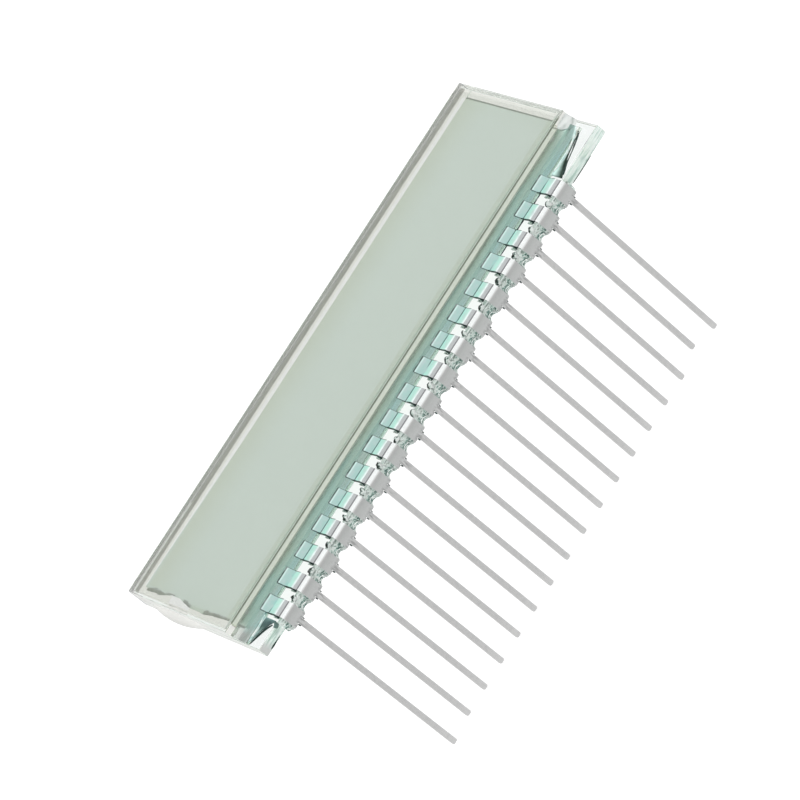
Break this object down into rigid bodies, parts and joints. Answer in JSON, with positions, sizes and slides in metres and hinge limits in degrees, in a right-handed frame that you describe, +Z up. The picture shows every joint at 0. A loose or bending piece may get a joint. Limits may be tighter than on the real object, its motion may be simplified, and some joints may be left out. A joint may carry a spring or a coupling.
{
  "type": "segment lcd display",
  "caption": "Slim glass liquid-crystal display cell with a blank window, a stepped contact ledge and a row of spring clips with long straight solder leads.",
  "frame": {"origin": "centre of the lead row, at the level of the lead tips", "axes": "+X along the lead row, +Y from the leads towards the display's far long edge, +Z up out of the viewing face, so the leads point along -Z"},
  "size_m": [0.0514, 0.0195, 0.022],
  "materials": {
    "front_plate_glass": "clear soda-lime float glass, ground edges",
    "rear_plate_glass": "clear soda-lime float glass, scribed and broken edges",
    "front_film": "smooth grey-green polarizer film",
    "rear_film": "smooth grey-green polarizer film",
    "reflector_foil": "satin pearl foil",
    "seal_epoxy": "translucent epoxy",
    "silver_epoxy": "silver-filled epoxy",
    "liquid_crystal": "clear liquid film",
    "plug_epoxy": "milky clear epoxy, smooth",
    "clip_resin": "clear teal resin, glossy",
    "tinned_strip": "dull tin plating over spring strip"
  },
  "bodies": {
    "root": {"front_glass": "front_plate_glass", "rear_glass": "rear_plate_glass", "front_polarizer": "front_film", "rear_polarizer": "rear_film", "reflector": "reflector_foil", "perimeter_seal": "seal_epoxy", "transfer_dots": "silver_epoxy", "liquid_crystal": "liquid_crystal", "fill_port_plug": "plug_epoxy", "upper_resin_bead": "clip_resin", "lower_resin_bead": "clip_resin", "pin_1": "tinned_strip", "pin_2": "tinned_strip", "pin_3": "tinned_strip", "pin_4": "tinned_strip", "pin_5": "tinned_strip", "pin_6": "tinned_strip", "pin_7": "tinned_strip", "pin_8": "tinned_strip", "pin_9": "tinned_strip", "pin_10": "tinned_strip", "pin_11": "tinned_strip", "pin_12": "tinned_strip", "pin_13": "tinned_strip", "pin_14": "tinned_strip", "pin_15": "tinned_strip", "pin_16": "tinned_strip", "pin_17": "tinned_strip"}
  },
  "joints": []
}
